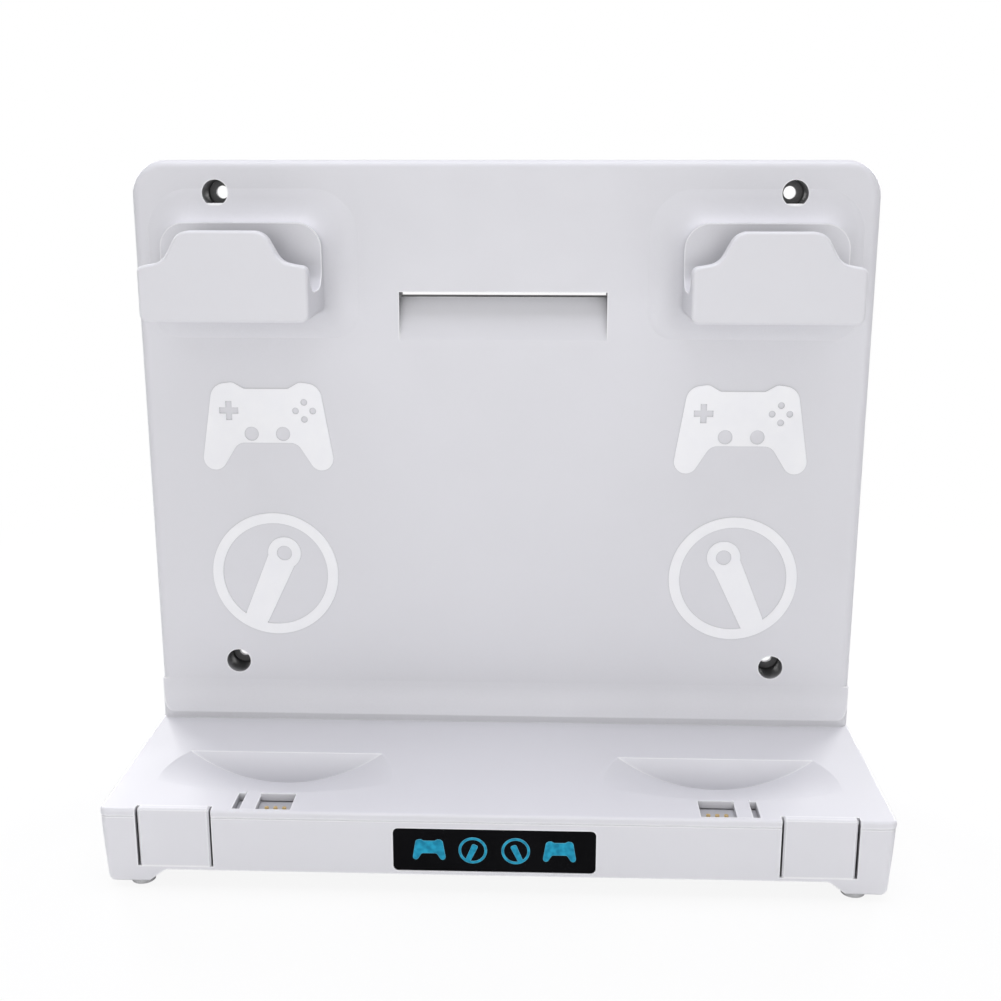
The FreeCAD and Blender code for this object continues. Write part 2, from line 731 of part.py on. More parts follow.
def make_panel_cover():
    """Flat plate that closes the back of the panel, stiffened by shallow ribs."""
    outline = raised_outline(PANEL_SIDE_WALL - COVER_LEDGE + FIT_GAP, PANEL_FLOOR - COVER_LEDGE + FIT_GAP)
    plate = prism_y(outline, COVER_FRONT, BACK)
    ribs = []
    rib_half = PANEL_HALF - COVER_RIB_INSET
    for share in COVER_RIB_SHARES:
        z = LID_TOP + share * PANEL_HEIGHT
        ribs.append(block(-rib_half, rib_half, COVER_FRONT - COVER_RIB_HEIGHT, COVER_FRONT,
                          z - COVER_RIB_WIDTH / 2, z + COVER_RIB_WIDTH / 2))
    reach = SLOT_HALF + SLOT_WALL + FIT_GAP
    low = SLOT_CEILING - SLOT_GAP - SLOT_WALL - FIT_GAP
    cuts = [block(-reach, reach, COVER_FRONT - COVER_RIB_HEIGHT, BACK + OVERCUT,
                  low, SLOT_CEILING + SLOT_WALL + FIT_GAP)]
    for x, z in wall_hole_places():
        cuts.append(rod_y(x, z, WALL_BOSS_RADIUS + FIT_GAP, COVER_FRONT - OVERCUT, BACK + OVERCUT))
    for x, z in cover_screw_places():
        cuts.append(rod_y(x, z, SCREW_RADIUS + FIT_GAP, COVER_FRONT - OVERCUT, BACK + OVERCUT))
        cuts.append(rod_y(x, z, SCREW_HEAD_RADIUS + FIT_GAP, BACK - COVER_SCREW_HEAD, BACK + OVERCUT))
    return single(plate.fuse(ribs).cut(cuts))


# Base lid with the docks

def dock_arc(centre, half, side_y, middle_y, depth):
    """Arc from side to side that dips by depth below the lid in its middle."""
    left = vec(centre - half, side_y, LID_TOP)
    middle = vec(centre, middle_y, LID_TOP - depth)
    right = vec(centre + half, side_y, LID_TOP)
    return Part.Wire([Part.Arc(left, middle, right).toShape()])


def dock_scoop(centre, wall):
    """Scooped recess of one dock; wall makes the bowl that surrounds it."""
    chord_y = FRONT + DOCK_BACK
    back = chord_y + wall
    mid_y = chord_y - DOCK_MID_REACH
    front_y = chord_y - DOCK_FRONT_REACH - DOCK_FRONT_GAIN * wall
    rear = dock_arc(centre, DOCK_HALF_CHORD + wall, back, back - DOCK_BACK_LEAN, DOCK_DEPTH + wall)
    mid = dock_arc(centre, DOCK_MID_HALF + wall, mid_y, mid_y - DOCK_MID_BOW, DOCK_MID_DEPTH + wall)
    fore = dock_arc(centre, DOCK_SIDE_HALF + wall, chord_y - DOCK_SIDE_REACH, front_y, 0)
    sweep = Part.makeLoft([rear, mid, fore], False, False)
    fore_edge, side_a, side_b, rear_edge = sorted(sweep.Edges, key=lambda edge: edge.CenterOfMass.y)
    chord = Part.makeLine(rear_edge.Vertexes[0].Point, rear_edge.Vertexes[-1].Point)
    back_face = Part.Face(Part.Wire(Part.__sortEdges__([rear_edge, chord])))
    top_face = Part.Face(Part.Wire(Part.__sortEdges__([chord, fore_edge, side_a, side_b])))
    return Part.Solid(Part.Shell([back_face, top_face] + sweep.Faces))


def end_block_span(sign, gap):
    """Room for one end block in the front edge; gap widens it on both sides."""
    half = BLOCK_WIDTH / 2 + gap
    return side_span(sign, BLOCK_CENTRE - half, BLOCK_CENTRE + half)


def neck_span(sign):
    inner = DOCK_CENTRE + NECK_INNER
    return side_span(sign, inner, inner + NECK_WIDTH)


def lid_plate():
    plate = prism_z(rectangle(-BASE_HALF, BASE_HALF, FRONT, BACK, HOUSING_CORNER_RADIUS),
                    LID_BOTTOM, LID_TOP)
    upper = [edge for edge in plate.Edges if edge.BoundBox.ZMin > LID_TOP - TOUCH]
    plate = plate.makeFillet(LID_EDGE_RADIUS, upper)
    lower = [edge for edge in plate.Edges if edge.BoundBox.ZMax < LID_BOTTOM + TOUCH]
    return plate.makeChamfer(SEAM_BEVEL, lower)


def lid_rim():
    """Rim under the lid that locates it in the housing, left out where others stand."""
    low = LID_BOTTOM - RIM_HEIGHT
    cut_low = low - OVERCUT
    half = INNER_HALF - SNUG_GAP
    front = WALL_INSIDE + SNUG_GAP
    back = BACK - HOUSING_WALL - SNUG_GAP
    rim = prism_z(rectangle(-half, half, front, back, HOUSING_INNER_RADIUS), low, LID_BOTTOM)
    keep_out = [block(-half + RIM_THICKNESS, half - RIM_THICKNESS, front + RIM_THICKNESS,
                      back - RIM_THICKNESS, cut_low, LID_BOTTOM + OVERCUT)]
    window_half = WINDOW_WIDTH / 2 + WINDOW_FLANGE + RIM_KEEP_OFF
    keep_out.append(block(-window_half, window_half, FRONT, 0, cut_low, LID_BOTTOM))
    keep_out.append(block(-INLET_RECESS_WIDTH, INLET_RECESS_WIDTH, 0, BACK, cut_low, LID_BOTTOM))
    for x, y in panel_screw_places():
        keep_out.append(rod_z(x, y, PANEL_SCREW_TUBE + RIM_KEEP_OFF, cut_low, LID_BOTTOM))
    for sign in (-1, 1):
        x0, x1 = end_block_span(sign, RIM_KEEP_OFF)
        keep_out.append(block(x0, x1, FRONT, BLOCK_FACE + BLOCK_TAIL_DEPTH, cut_low, LID_BOTTOM))
        reach = POCKET_HALF + RIM_KEEP_OFF
        x0, x1 = side_span(sign, DOCK_CENTRE - reach, DOCK_CENTRE + reach)
        keep_out.append(block(x0, x1, FRONT, 0, cut_low, LID_BOTTOM))
    return rim.cut(keep_out)


def make_lid():
    """Top cover of the base with its two scooped docks and contact pockets."""
    added = [lid_rim()]
    cuts = []
    floors = []
    above = LID_TOP + OVERCUT
    for x, y in lid_screw_places():
        added.append(rod_z(x, y, SCREW_BOSS_RADIUS, SCREW_MEET + FIT_GAP, LID_BOTTOM))
        cuts.append(rod_z(x, y, SCREW_RADIUS + SCREW_BITE, SCREW_MEET, LID_BOTTOM))
    for x, y in panel_screw_places():
        cuts.append(rod_z(x, y, SCREW_RADIUS + FIT_GAP, LID_BOTTOM - OVERCUT, above))
    for x in (-LEAD_X, LEAD_X):
        cuts.append(lead_hole(x, LID_BOTTOM - OVERCUT, above))
    for sign in (-1, 1):
        centre = sign * DOCK_CENTRE
        added.append(dock_scoop(centre, DOCK_WALL))
        cuts.append(dock_scoop(centre, 0.0))
        cuts.append(block(centre - POCKET_HALF, centre + POCKET_HALF, POCKET_Y0, POCKET_Y1,
                          LID_TOP - POCKET_DEPTH, above))
        x0, x1 = neck_span(sign)
        neck_floor = LID_TOP - NECK_DROP
        cuts.append(block(x0, x1, POCKET_Y0, POCKET_Y1 + NECK_REACH, neck_floor, above))
        floors.append(block(x0, x1, POCKET_Y0 - NECK_BEARING, POCKET_Y1 + NECK_BEARING,
                            LID_BOTTOM, neck_floor))
        x0, x1 = end_block_span(sign, BLOCK_SIDE_GAP)
        cuts.append(block(x0, x1, FRONT - OVERCUT, BLOCK_FACE + SNUG_GAP,
                          LID_TOP - POCKET_DEPTH, above))
    return single(lid_plate().fuse(added).cut(cuts).fuse(floors))


# Base housing

def housing_outline():
    """Front view of the base: drafted sides that run down into the corner feet."""
    low = HOUSING_HALF - HOUSING_SIDE_DRAFT
    foot = low - FOOT_SIDE_STEP
    inner = foot - FOOT_WIDTH + HOUSING_BOTTOM_RADIUS
    right = [(inner - FOOT_SLOPE, HOUSING_BOTTOM, FOOT_SLOPE_RADIUS),
             (inner, RUBBER_PROUD, FOOT_EDGE_RADIUS), (foot, RUBBER_PROUD, HOUSING_BOTTOM_RADIUS),
             (low, HOUSING_BOTTOM, 0), (HOUSING_HALF, LID_BOTTOM, 0)]
    return mirrored(right)


def housing_side_view():
    inner = BASE_DEPTH / 2 - FOOT_DEPTH
    rear = [(inner - FOOT_SLOPE, HOUSING_BOTTOM, FOOT_SLOPE_RADIUS),
            (inner, RUBBER_PROUD, FOOT_EDGE_RADIUS), (BACK, RUBBER_PROUD, FOOT_FRONT_RADIUS),
            (BACK, LID_BOTTOM, 0)]
    return mirrored(rear)


def housing_tray():
    """Outside of the housing, hollowed from above."""
    solid = prism_y(housing_outline(), FRONT - OVERCUT, BACK + OVERCUT)
    solid = solid.common(prism_x(housing_side_view(), -BASE_HALF, BASE_HALF))
    plan = rectangle(-HOUSING_HALF, HOUSING_HALF, FRONT, BACK, HOUSING_CORNER_RADIUS)
    solid = solid.common(prism_z(plan, 0, LID_BOTTOM))
    rim = [edge for edge in solid.Edges if edge.BoundBox.ZMin > LID_BOTTOM - TOUCH]
    solid = solid.makeChamfer(SEAM_BEVEL, rim)
    hollow = prism_z(rectangle(-INNER_HALF, INNER_HALF, WALL_INSIDE, BACK - HOUSING_WALL,
                               HOUSING_INNER_RADIUS), FLOOR_TOP, LID_BOTTOM + OVERCUT)
    return solid.cut(hollow)


def housing_supports():
    """Bosses, standoffs, rails and pillars that rise from the floor."""
    root = FLOOR_TOP - OVERCUT
    supports = []
    for x, y in lid_screw_places():
        supports.append(rod_z(x, y, SCREW_BOSS_RADIUS, root, SCREW_MEET))
    for x, y in panel_screw_places():
        supports.append(rod_z(x, y, PANEL_SCREW_TUBE, root, LID_BOTTOM))
    for x, y in standoff_places():
        supports.append(rod_z(x, y, STANDOFF_RADIUS, root, BOARD_LOW))
    top = LID_BOTTOM - GUIDE_TOP_DROP
    for sign in (-1, 1):
        x0, x1 = side_span(sign, DISPLAY_BOARD_HALF - DISPLAY_RAIL, DISPLAY_BOARD_HALF + DISPLAY_RAIL)
        supports.append(block(x0, x1, DISPLAY_BOARD_FRONT - DISPLAY_RAIL_LIP,
                              DISPLAY_BOARD_BACK + DISPLAY_RAIL_LIP, root, top))
        x0, x1 = end_block_span(sign, BLOCK_SIDE_GAP)
        tail = BLOCK_FACE + BLOCK_TAIL_DEPTH
        for guide in (x0 - GUIDE_THICKNESS, x1):
            supports.append(block(guide, guide + GUIDE_THICKNESS, WALL_INSIDE - OVERCUT, tail, root, top))
        centre = sign * DOCK_CENTRE
        pillar = CONTACT_BACK - CARRIER_PILLAR_BACK
        supports.append(block(centre - CARRIER_PILLAR, centre + CARRIER_PILLAR,
                              pillar - CARRIER_PILLAR_DEPTH, pillar, root, CONTACT_LOW))
    return supports


def housing_cuts():
    """Screw holes, foot seats, and the openings for display, end blocks and inlet."""
    cuts = []
    for x, y in lid_screw_places():
        cuts.append(rod_z(x, y, SCREW_RADIUS + FIT_GAP, HOUSING_BOTTOM, SCREW_MEET + OVERCUT))
        cuts.append(rod_z(x, y, SCREW_HEAD_RADIUS + FIT_GAP, 0, LID_SCREW_SEAT))
    for x, y in panel_screw_places():
        cuts.append(rod_z(x, y, SCREW_RADIUS + FIT_GAP, HOUSING_BOTTOM, LID_BOTTOM + OVERCUT))
        cuts.append(rod_z(x, y, SCREW_HEAD_RADIUS + FIT_GAP, 0, PANEL_SCREW_SEAT))
    for x, y in standoff_places():
        cuts.append(rod_z(x, y, SCREW_RADIUS + SCREW_BITE, FLOOR_TOP, BOARD_LOW + OVERCUT))
    for x, y in rubber_places():
        cuts.append(rod_z(x, y, RUBBER_RADIUS + SNUG_GAP, 0, RUBBER_PROUD + RUBBER_SEAT))
    for sign in (-1, 1):
        x0, x1 = end_block_span(sign, BLOCK_SIDE_GAP)
        cuts.append(block(x0, x1, FRONT - OVERCUT, WALL_INSIDE + OVERCUT,
                          HOUSING_BOTTOM + BLOCK_SILL, LID_BOTTOM + OVERCUT))
    reach = DISPLAY_BOARD_HALF + SNUG_GAP
    cuts.append(block(-reach, reach, DISPLAY_BOARD_FRONT - SNUG_GAP, DISPLAY_BOARD_BACK + SNUG_GAP,
                      FLOOR_TOP, LID_BOTTOM))
    cuts.append(prism_y(window_outline(0), FRONT - OVERCUT, WALL_INSIDE + SNUG_GAP))
    cuts.append(inlet_prism(SNUG_GAP, BACK - HOUSING_WALL - OVERCUT, BACK + OVERCUT))
    half_x = INLET_RECESS_WIDTH / 2
    half_z = INLET_RECESS_HEIGHT / 2
    recess = rectangle(-half_x, half_x, INLET_Z - half_z, INLET_Z + half_z, INLET_RECESS_CORNER)
    cuts.append(prism_y(recess, INLET_BACK, BACK + OVERCUT))
    return cuts


def make_housing():
    """Open-topped base moulding with corner feet, bosses and cut-outs."""
    return single(housing_tray().fuse(housing_supports()).cut(housing_cuts()))


def make_end_block(sign):
    """Fixed cover block that closes the front corner beside a dock."""
    x0, x1 = end_block_span(sign, 0.0)
    low = HOUSING_BOTTOM + BLOCK_SILL
    top = LID_TOP + BLOCK_TOP_PROUD
    tail = BLOCK_FACE + BLOCK_TAIL_DEPTH - FIT_GAP
    tail_top = LID_BOTTOM - FIT_GAP
    side_view = [(FRONT, low, 0), (FRONT, top, 0), (BLOCK_FACE, top, 0), (BLOCK_FACE, tail_top, 0),
                 (tail, tail_top, 0), (tail, FLOOR_TOP, 0), (WALL_INSIDE, FLOOR_TOP, 0),
                 (WALL_INSIDE, low, 0)]
    solid = prism_x(side_view, x0, x1)
    rims = []
    for edge in solid.Edges:
        box = edge.BoundBox
        upright = box.ZLength > BLOCK_TAIL_DEPTH and box.YMax < FRONT + TOUCH
        if box.ZMin > top - TOUCH or upright:
            rims.append(edge)
    return single(solid.makeChamfer(BLOCK_EDGE_BREAK, rims))


# Symbols

def pad_symbol(scale):
    """Outline of a plain game pad, drawn about its own centre."""
    right = [(4.6, 8.2, 1.2), (7.0, 9.6, 1.6), (11.2, 9.0, 3.2), (13.9, -7.6, 2.6),
             (10.6, -10.2, 2.4), (6.2, -3.2, 2.6)]
    return [(u * scale, v * scale, radius * scale) for u, v, radius in mirrored(right)]


def cross_outline(size, arm):
    half = size / 2
    thin = arm / 2
    return [(thin, -half, 0), (thin, -thin, 0), (half, -thin, 0), (half, thin, 0),
            (thin, thin, 0), (thin, half, 0), (-thin, half, 0), (-thin, thin, 0),
            (-half, thin, 0), (-half, -thin, 0), (-thin, -thin, 0), (-thin, -half, 0)]


def symbol_pad(x, z, width, y0, y1):
    """Game pad symbol with a cross, two sticks and four dots left open."""
    scale = width / PAD_DRAWN_WIDTH
    body = prism_y(moved(pad_symbol(scale), x, z), y0, y1)
    cross = moved(cross_outline(4.0 * scale, 1.3 * scale), x - 7.9 * scale, z + 3.6 * scale)
    cuts = [prism_y(cross, y0 - OVERCUT, y1 + OVERCUT)]
    for u, v, radius in ((-3.3, -1.3, 1.5), (3.3, -1.3, 1.5), (7.9, 5.4, 0.7), (7.9, 1.8, 0.7),
                         (6.1, 3.6, 0.7), (9.7, 3.6, 0.7)):
        cuts.append(rod_y(x + u * scale, z + v * scale, radius * scale, y0 - OVERCUT, y1 + OVERCUT))
    return single(body.cut(cuts))


def handle_outline(radius, lean):
    """Rounded grip that stands inside the ring symbol, leaning by lean degrees."""
    half = GRIP_HALF_SHARE * radius
    wide = GRIP_FLARE * half
    top = GRIP_TOP_SHARE * radius
    angle = math.radians(lean)
    corners = []
    for u, v in ((-half, -radius), (half, -radius), (wide, top), (-wide, top)):
        turned_u = u * math.cos(angle) + v * math.sin(angle)
        turned_v = v * math.cos(angle) - u * math.sin(angle)
        corners.append((turned_u, turned_v, GRIP_CORNER_SHARE * radius))
    return corners


def ring_and_grip(x, z, radius, band, lean, y0, y1):
    """Ring symbol with a grip that leans by lean degrees across it."""
    ring = rod_y(x, z, radius, y0, y1).cut(rod_y(x, z, radius - band, y0 - OVERCUT, y1 + OVERCUT))
    inner = radius - band / 2
    grip = prism_y(moved(handle_outline(inner, lean), x, z), y0, y1)
    grip = grip.common(rod_y(x, z, inner, y0 - OVERCUT, y1 + OVERCUT))
    return single(ring.fuse(grip))


def add_thumb_rest(symbol, x, z, radius, lean, y0, y1):
    """Round thumb rest with an eye, on the upper end of the grip."""
    angle = math.radians(lean)
    rest_x = x + REST_SHARE * radius * math.sin(angle)
    rest_z = z + REST_SHARE * radius * math.cos(angle)
    rest = rod_y(rest_x, rest_z, REST_RADIUS_SHARE * radius, y0, y1)
    eye = rod_y(rest_x, rest_z, EYE_RADIUS_SHARE * radius, y0 - OVERCUT, y1 + OVERCUT)
    return single(symbol.fuse(rest).cut(eye))


def panel_pad_symbol(sign):
    return symbol_pad(sign * PAD_ICON_X, LID_TOP + PAD_ICON_Z, PAD_ICON_WIDTH, ICON_FACE, PANEL_FRONT)


def panel_ring_symbol(sign):
    x = sign * RING_ICON_X
    z = LID_TOP + RING_ICON_Z
    lean = -sign * RING_ICON_LEAN
    symbol = ring_and_grip(x, z, RING_ICON_RADIUS, RING_ICON_BAND, lean, ICON_FACE, PANEL_FRONT)
    return add_thumb_rest(symbol, x, z, RING_ICON_RADIUS, lean, ICON_FACE, PANEL_FRONT)


def display_pad_symbol(x):
    """Outline of a game pad without its buttons, which are too small to mould here."""
    scale = DISPLAY_PAD_WIDTH / PAD_DRAWN_WIDTH
    return prism_y(moved(pad_symbol(scale), x, WINDOW_Z), WINDOW_FACE - DISPLAY_ICON_THICKNESS, WINDOW_FACE)


def display_ring_symbol(sign):
    return ring_and_grip(sign * DISPLAY_RING_X, WINDOW_Z, DISPLAY_RING_RADIUS, DISPLAY_RING_BAND,
                         -sign * RING_ICON_LEAN, WINDOW_FACE - DISPLAY_ICON_THICKNESS, WINDOW_FACE)


# Display

def window_outline(gap):
    half_x = WINDOW_WIDTH / 2 - gap
    half_z = WINDOW_HEIGHT / 2 - gap
    return rectangle(-half_x, half_x, WINDOW_Z - half_z, WINDOW_Z + half_z, WINDOW_RADIUS)


def make_window():
    """Dark lens pushed in from behind, a little below the face of the wall."""
    lens = prism_y(window_outline(SNUG_GAP), WINDOW_FACE, WALL_INSIDE)
    half = WINDOW_WIDTH / 2 + WINDOW_FLANGE
    flange = block(-half, half, WALL_INSIDE, WALL_INSIDE + WINDOW_FLANGE_THICKNESS,
                   FLOOR_TOP, WINDOW_TOP + WINDOW_FLANGE_THICKNESS)
    return single(lens.fuse(flange))


def make_display_board():
    return block(-DISPLAY_BOARD_HALF, DISPLAY_BOARD_HALF, DISPLAY_BOARD_FRONT, DISPLAY_BOARD_BACK,
                 FLOOR_TOP, LID_BOTTOM - DISPLAY_BOARD_DROP)


def make_status_lights():
    lights = []
    for x in (-DISPLAY_PAD_X, -DISPLAY_RING_X, DISPLAY_RING_X, DISPLAY_PAD_X):
        lights.append(block(x - LIGHT_WIDTH / 2, x + LIGHT_WIDTH / 2,
                            DISPLAY_BOARD_FRONT - LIGHT_DEPTH, DISPLAY_BOARD_FRONT,
                            WINDOW_Z - LIGHT_HEIGHT / 2, WINDOW_Z + LIGHT_HEIGHT / 2))
    return lights


# Main board and power inlet

def make_main_board():
    radius = BOARD_CORNER_RADIUS
    tail = BACK - BOARD_TAIL_BACK
    right = [(BOARD_HALF, BOARD_FRONT, radius), (BOARD_HALF, PANEL_FRONT, radius),
             (BOARD_TAIL_HALF, PANEL_FRONT, radius), (BOARD_TAIL_HALF, tail, radius)]
    board = prism_z(mirrored(right), BOARD_LOW, BOARD_TOP)
    holes = [rod_z(x, y, SCREW_RADIUS + FIT_GAP, BOARD_LOW - OVERCUT, BOARD_TOP + OVERCUT)
             for x, y in standoff_places()]
    return single(board.cut(holes))


def on_board(x, y, side_x, side_y, height):
    return block(x - side_x / 2, x + side_x / 2, y - side_y / 2, y + side_y / 2,
                 BOARD_TOP, BOARD_TOP + height)


def make_board_parts():
    """Charger chip, coils, capacitors and lead sockets on the main board."""
    row = PANEL_FRONT - CHIP_BACK
    parts = [on_board(0, row, CHIP_SIDE, CHIP_SIDE, CHIP_HEIGHT)]
    socket_x = BOARD_HALF - SOCKET_LENGTH / 2
    for sign in (-1, 1):
        parts.append(on_board(sign * COIL_X, row, COIL_SIDE, COIL_SIDE, COIL_HEIGHT))
        parts.append(rod_z(sign * COIL_X, PANEL_FRONT - CAPACITOR_BACK, CAPACITOR_RADIUS,
                           BOARD_TOP, BOARD_TOP + CAPACITOR_HEIGHT))
        for back in (DOCK_SOCKET_BACK, CRADLE_SOCKET_BACK):
            parts.append(on_board(sign * socket_x, PANEL_FRONT - back, SOCKET_LENGTH, SOCKET_WIDTH,
                                  SOCKET_HEIGHT))
    return parts


def inlet_prism(gap, y0, y1):
    """Oval section of the inlet, larger by gap all round."""
    half_x = INLET_WIDTH / 2 + gap
    half_z = INLET_HEIGHT / 2 + gap
    corner = half_z - TOUCH
    return prism_y(rectangle(-half_x, half_x, INLET_Z - half_z, INLET_Z + half_z, corner), y0, y1)


def make_inlet_shell():
    """Metal shell of the oval power inlet at the back."""
    outer = inlet_prism(0, INLET_FRONT, INLET_BACK)
    inner = inlet_prism(-INLET_SHELL, INLET_FRONT + INLET_BASE, INLET_BACK + OVERCUT)
    return single(outer.cut(inner))


def make_inlet_tongue():
    return block(-TONGUE_WIDTH / 2, TONGUE_WIDTH / 2, INLET_FRONT + INLET_BASE, INLET_BACK - TONGUE_SETBACK,
                 INLET_Z - TONGUE_THICKNESS / 2, INLET_Z + TONGUE_THICKNESS / 2)


# Contacts and their carriers

def dock_contact_places(sign):
    """Centres of the three contacts in the open half of one pocket."""
    middle = sign * (DOCK_CENTRE - (POCKET_HALF - NECK_INNER) / 2)
    y = (POCKET_Y0 + POCKET_Y1) / 2
    return [(middle + step * CONTACT_PITCH, y) for step in (-1, 0, 1)]


def make_dock_carrier(sign):
    """Insulating carrier under the lid that holds the contacts of one dock."""
    reach = POCKET_HALF + CARRIER_OVERLAP
    x0, x1 = side_span(sign, DOCK_CENTRE - reach, DOCK_CENTRE + reach)
    body = block(x0, x1, CONTACT_FRONT, CONTACT_BACK, CONTACT_LOW, LID_BOTTOM - CARRIER_DROP)
    holes = [rod_z(x, y, CONTACT_RADIUS, CONTACT_LOW + CONTACT_ROOT, LID_TOP)
             for x, y in dock_contact_places(sign)]
    return single(body.cut(holes))


def make_dock_contacts(sign):
    top = LID_BOTTOM - CARRIER_DROP + CONTACT_PROUD
    return [rod_z(x, y, CONTACT_RADIUS, CONTACT_LOW + CONTACT_ROOT, top)
            for x, y in dock_contact_places(sign)]


def cradle_contact_places(sign):
    centre = sign * CRADLE_CENTRE
    return [(centre + offset, CHANNEL_MIDDLE) for offset in (-SEAT_CONTACT_OFFSET, SEAT_CONTACT_OFFSET)]


def make_cradle_block(sign):
    """Charging block that stands on the floor of the cradle's channel."""
    centre = sign * CRADLE_CENTRE
    reach_x = SEAT_HALF_X + SEAT_FLANGE
    reach_y = SEAT_HALF_Y + SEAT_FLANGE
    flange = block(centre - reach_x, centre + reach_x, CHANNEL_MIDDLE - reach_y, CHANNEL_MIDDLE + reach_y,
                   CHANNEL_FLOOR, CHANNEL_FLOOR + SEAT_FLANGE_THICKNESS)
    head = block(centre - SEAT_HEAD_HALF_X, centre + SEAT_HEAD_HALF_X,
                 CHANNEL_MIDDLE - SEAT_HEAD_HALF_Y, CHANNEL_MIDDLE + SEAT_HEAD_HALF_Y,
                 CHANNEL_FLOOR, CHANNEL_FLOOR + SEAT_HEAD_HEIGHT)
    holes = [rod_z(x, y, CONTACT_RADIUS, CHANNEL_FLOOR - CONTACT_ROOT,
                   CHANNEL_FLOOR + SEAT_HEAD_HEIGHT + OVERCUT)
             for x, y in cradle_contact_places(sign)]
    return single(charge_seat(centre, 0.0).fuse([flange, head]).cut(holes))


def make_cradle_contacts(sign):
    top = CHANNEL_FLOOR + SEAT_HEAD_HEIGHT + CONTACT_PROUD / 2
    return [rod_z(x, y, CONTACT_RADIUS, CHANNEL_FLOOR - CONTACT_ROOT, top)
            for x, y in cradle_contact_places(sign)]


# Leads

def lead(points):
    """Flat cable along straight runs, folded square where they meet."""
    runs = []
    for start, end in zip(points, points[1:]):
        lows = [min(a, b) - LEAD_HALF for a, b in zip(start, end)]
        highs = [max(a, b) + LEAD_HALF for a, b in zip(start, end)]
        runs.append(block(lows[0], highs[0], lows[1], highs[1], lows[2], highs[2]))
    return single(runs[0].fuse(runs[1:]))


def make_panel_leads():
    """One lead to each cradle, from the main board up through the panel."""
    leads = []
    row = PANEL_FRONT - CRADLE_SOCKET_BACK
    high = CHANNEL_FLOOR - CRADLE_WALL - SEAT_STEM_BELOW - LEAD_HALF
    for sign in (-1, 1):
        x = sign * LEAD_X
        leads.append(lead([(sign * (BOARD_HALF + LEAD_HALF), row, LEAD_LEVEL), (x, row, LEAD_LEVEL),
                           (x, LEAD_Y, LEAD_LEVEL), (x, LEAD_Y, high), (x, CHANNEL_MIDDLE, high)]))
    return leads


def make_dock_leads():
    """One lead to each dock, laid along the floor of the base under the dock's bowl."""
    leads = []
    row = PANEL_FRONT - DOCK_SOCKET_BACK
    low = FLOOR_TOP + LEAD_HALF + LEAD_LAY
    high = CONTACT_LOW + LEAD_HALF
    rise_y = CONTACT_BACK + DOCK_LEAD_RISE
    for sign in (-1, 1):
        x = sign * (DOCK_CENTRE - DOCK_LEAD_SHIFT)
        leads.append(lead([(sign * (BOARD_HALF + LEAD_HALF), row, LEAD_LEVEL), (x, row, LEAD_LEVEL),
                           (x, row, low), (x, rise_y, low), (x, rise_y, high),
                           (x, CONTACT_BACK + LEAD_HALF, high)]))
    return leads


# Screws and feet

def screw_up(x, y, seat, length):
    """Screw driven upwards; its head bears on the level called seat."""
    head = rod_z(x, y, SCREW_HEAD_RADIUS, seat - SCREW_HEAD_HEIGHT, seat)
    shank = rod_z(x, y, SCREW_RADIUS, seat - TOUCH, seat + length)
    return single(head.fuse(shank))


def screw_down(x, y, seat, length):
    head = rod_z(x, y, SCREW_HEAD_RADIUS, seat, seat + SCREW_HEAD_HEIGHT)
    shank = rod_z(x, y, SCREW_RADIUS, seat - length, seat + TOUCH)
    return single(head.fuse(shank))


def screw_forward(x, z, seat, length):
    """Flat-headed screw driven into the panel from behind."""
    head = rod_y(x, z, SCREW_HEAD_RADIUS, seat, BACK - SNUG_GAP)
    shank = rod_y(x, z, SCREW_RADIUS, seat - length, seat + TOUCH)
    return single(head.fuse(shank))


def make_lid_screws():
    return [screw_up(x, y, LID_SCREW_SEAT, LID_SCREW_LENGTH) for x, y in lid_screw_places()]


def make_panel_screws():
    return [screw_up(x, y, PANEL_SCREW_SEAT, PANEL_SCREW_LENGTH) for x, y in panel_screw_places()]


def make_board_screws():
    return [screw_down(x, y, BOARD_TOP, BOARD_SCREW_LENGTH) for x, y in standoff_places()]


def make_cover_screws():
    seat = BACK - COVER_SCREW_HEAD
    return [screw_forward(x, z, seat, COVER_SCREW_LENGTH) for x, z in cover_screw_places()]


def make_rubber_feet():
    return [rod_z(x, y, RUBBER_RADIUS, 0, RUBBER_PROUD + RUBBER_SEAT) for x, y in rubber_places()]


def build():
    os.makedirs("parts", exist_ok=True)
    save("panel_front_shell", [make_panel_front()])
    save("panel_rear_cover", [make_panel_cover()])
    save("base_top_cover", [make_lid()])
    save("base_housing", [make_housing()])
    save("display_window", [make_window()])
    save("display_pad_symbols", [display_pad_symbol(sign * DISPLAY_PAD_X) for sign in (-1, 1)])
    save("display_ring_symbols", [display_ring_symbol(sign) for sign in (-1, 1)])
    save("display_board", [make_display_board()])
    save("status_lights", make_status_lights())
    save("main_board", [make_main_board()])
    save("board_components", make_board_parts())
    save("power_inlet_shell", [make_inlet_shell()])
    save("power_inlet_tongue", [make_inlet_tongue()])
    save("panel_wires", make_panel_leads())
    save("dock_wires", make_dock_leads())
    save("lid_screws", make_lid_screws())
    save("panel_screws", make_panel_screws())
    save("board_screws", make_board_screws())
    save("rear_cover_screws", make_cover_screws())
    save("rubber_feet", make_rubber_feet())
    for side, sign in SIDES:
        save("end_block_" + side, [make_end_block(sign)])
        save("dock_contact_carrier_" + side, [make_dock_carrier(sign)])
        save("dock_contacts_" + side, make_dock_contacts(sign))
        save("cradle_contact_block_" + side, [make_cradle_block(sign)])
        save("cradle_contacts_" + side, make_cradle_contacts(sign))
        save("pad_symbol_" + side, [panel_pad_symbol(sign)])
        save("ring_symbol_" + side, [panel_ring_symbol(sign)])


build()
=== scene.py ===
import json
import math

